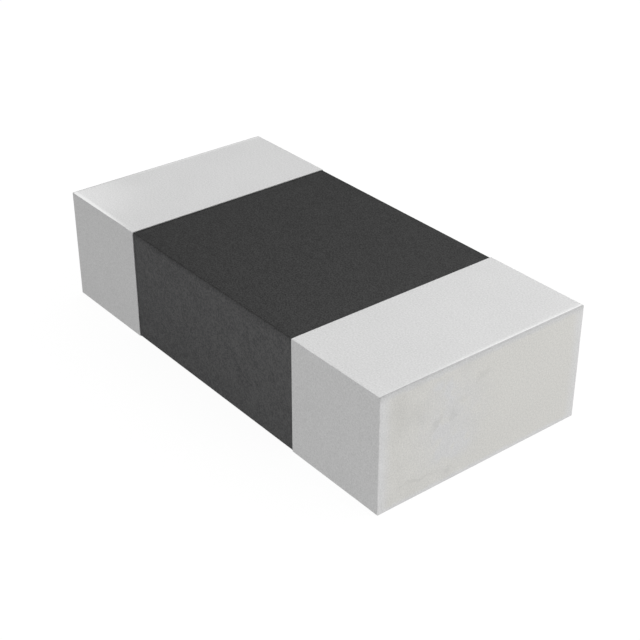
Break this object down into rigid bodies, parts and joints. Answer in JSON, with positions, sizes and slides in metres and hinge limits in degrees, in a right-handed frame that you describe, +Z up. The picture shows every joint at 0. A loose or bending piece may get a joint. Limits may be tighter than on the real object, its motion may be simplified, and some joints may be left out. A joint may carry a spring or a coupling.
{
  "type": "chip thermistor",
  "caption": "Small surface-mount chip thermistor: a dark glass-coated ceramic bar with matte tin-plated solder caps wrapped over its end faces.",
  "frame": {"origin": "middle of the underside, the face that is soldered to a board", "axes": "+X along the length from one solder cap to the other, +Y across the width, +Z up from the board"},
  "size_m": [0.0032, 0.0016, 0.0008],
  "materials": {
    "oxide_ceramic": "matte",
    "electrode_metal": "matte",
    "dark_glass": "satin",
    "fired_silver": "matte",
    "nickel": "satin",
    "matte_tin": "matte"
  },
  "bodies": {
    "root": {"ceramic_body": "oxide_ceramic", "inner_electrode_left_1": "electrode_metal", "inner_electrode_left_2": "electrode_metal", "inner_electrode_left_3": "electrode_metal", "inner_electrode_left_4": "electrode_metal", "inner_electrode_left_5": "electrode_metal", "inner_electrode_left_6": "electrode_metal", "inner_electrode_right_1": "electrode_metal", "inner_electrode_right_2": "electrode_metal", "inner_electrode_right_3": "electrode_metal", "inner_electrode_right_4": "electrode_metal", "inner_electrode_right_5": "electrode_metal", "inner_electrode_right_6": "electrode_metal", "glass_coat": "dark_glass", "silver_base_left": "fired_silver", "silver_base_right": "fired_silver", "nickel_barrier_left": "nickel", "nickel_barrier_right": "nickel", "tin_plate_left": "matte_tin", "tin_plate_right": "matte_tin"}
  },
  "joints": []
}
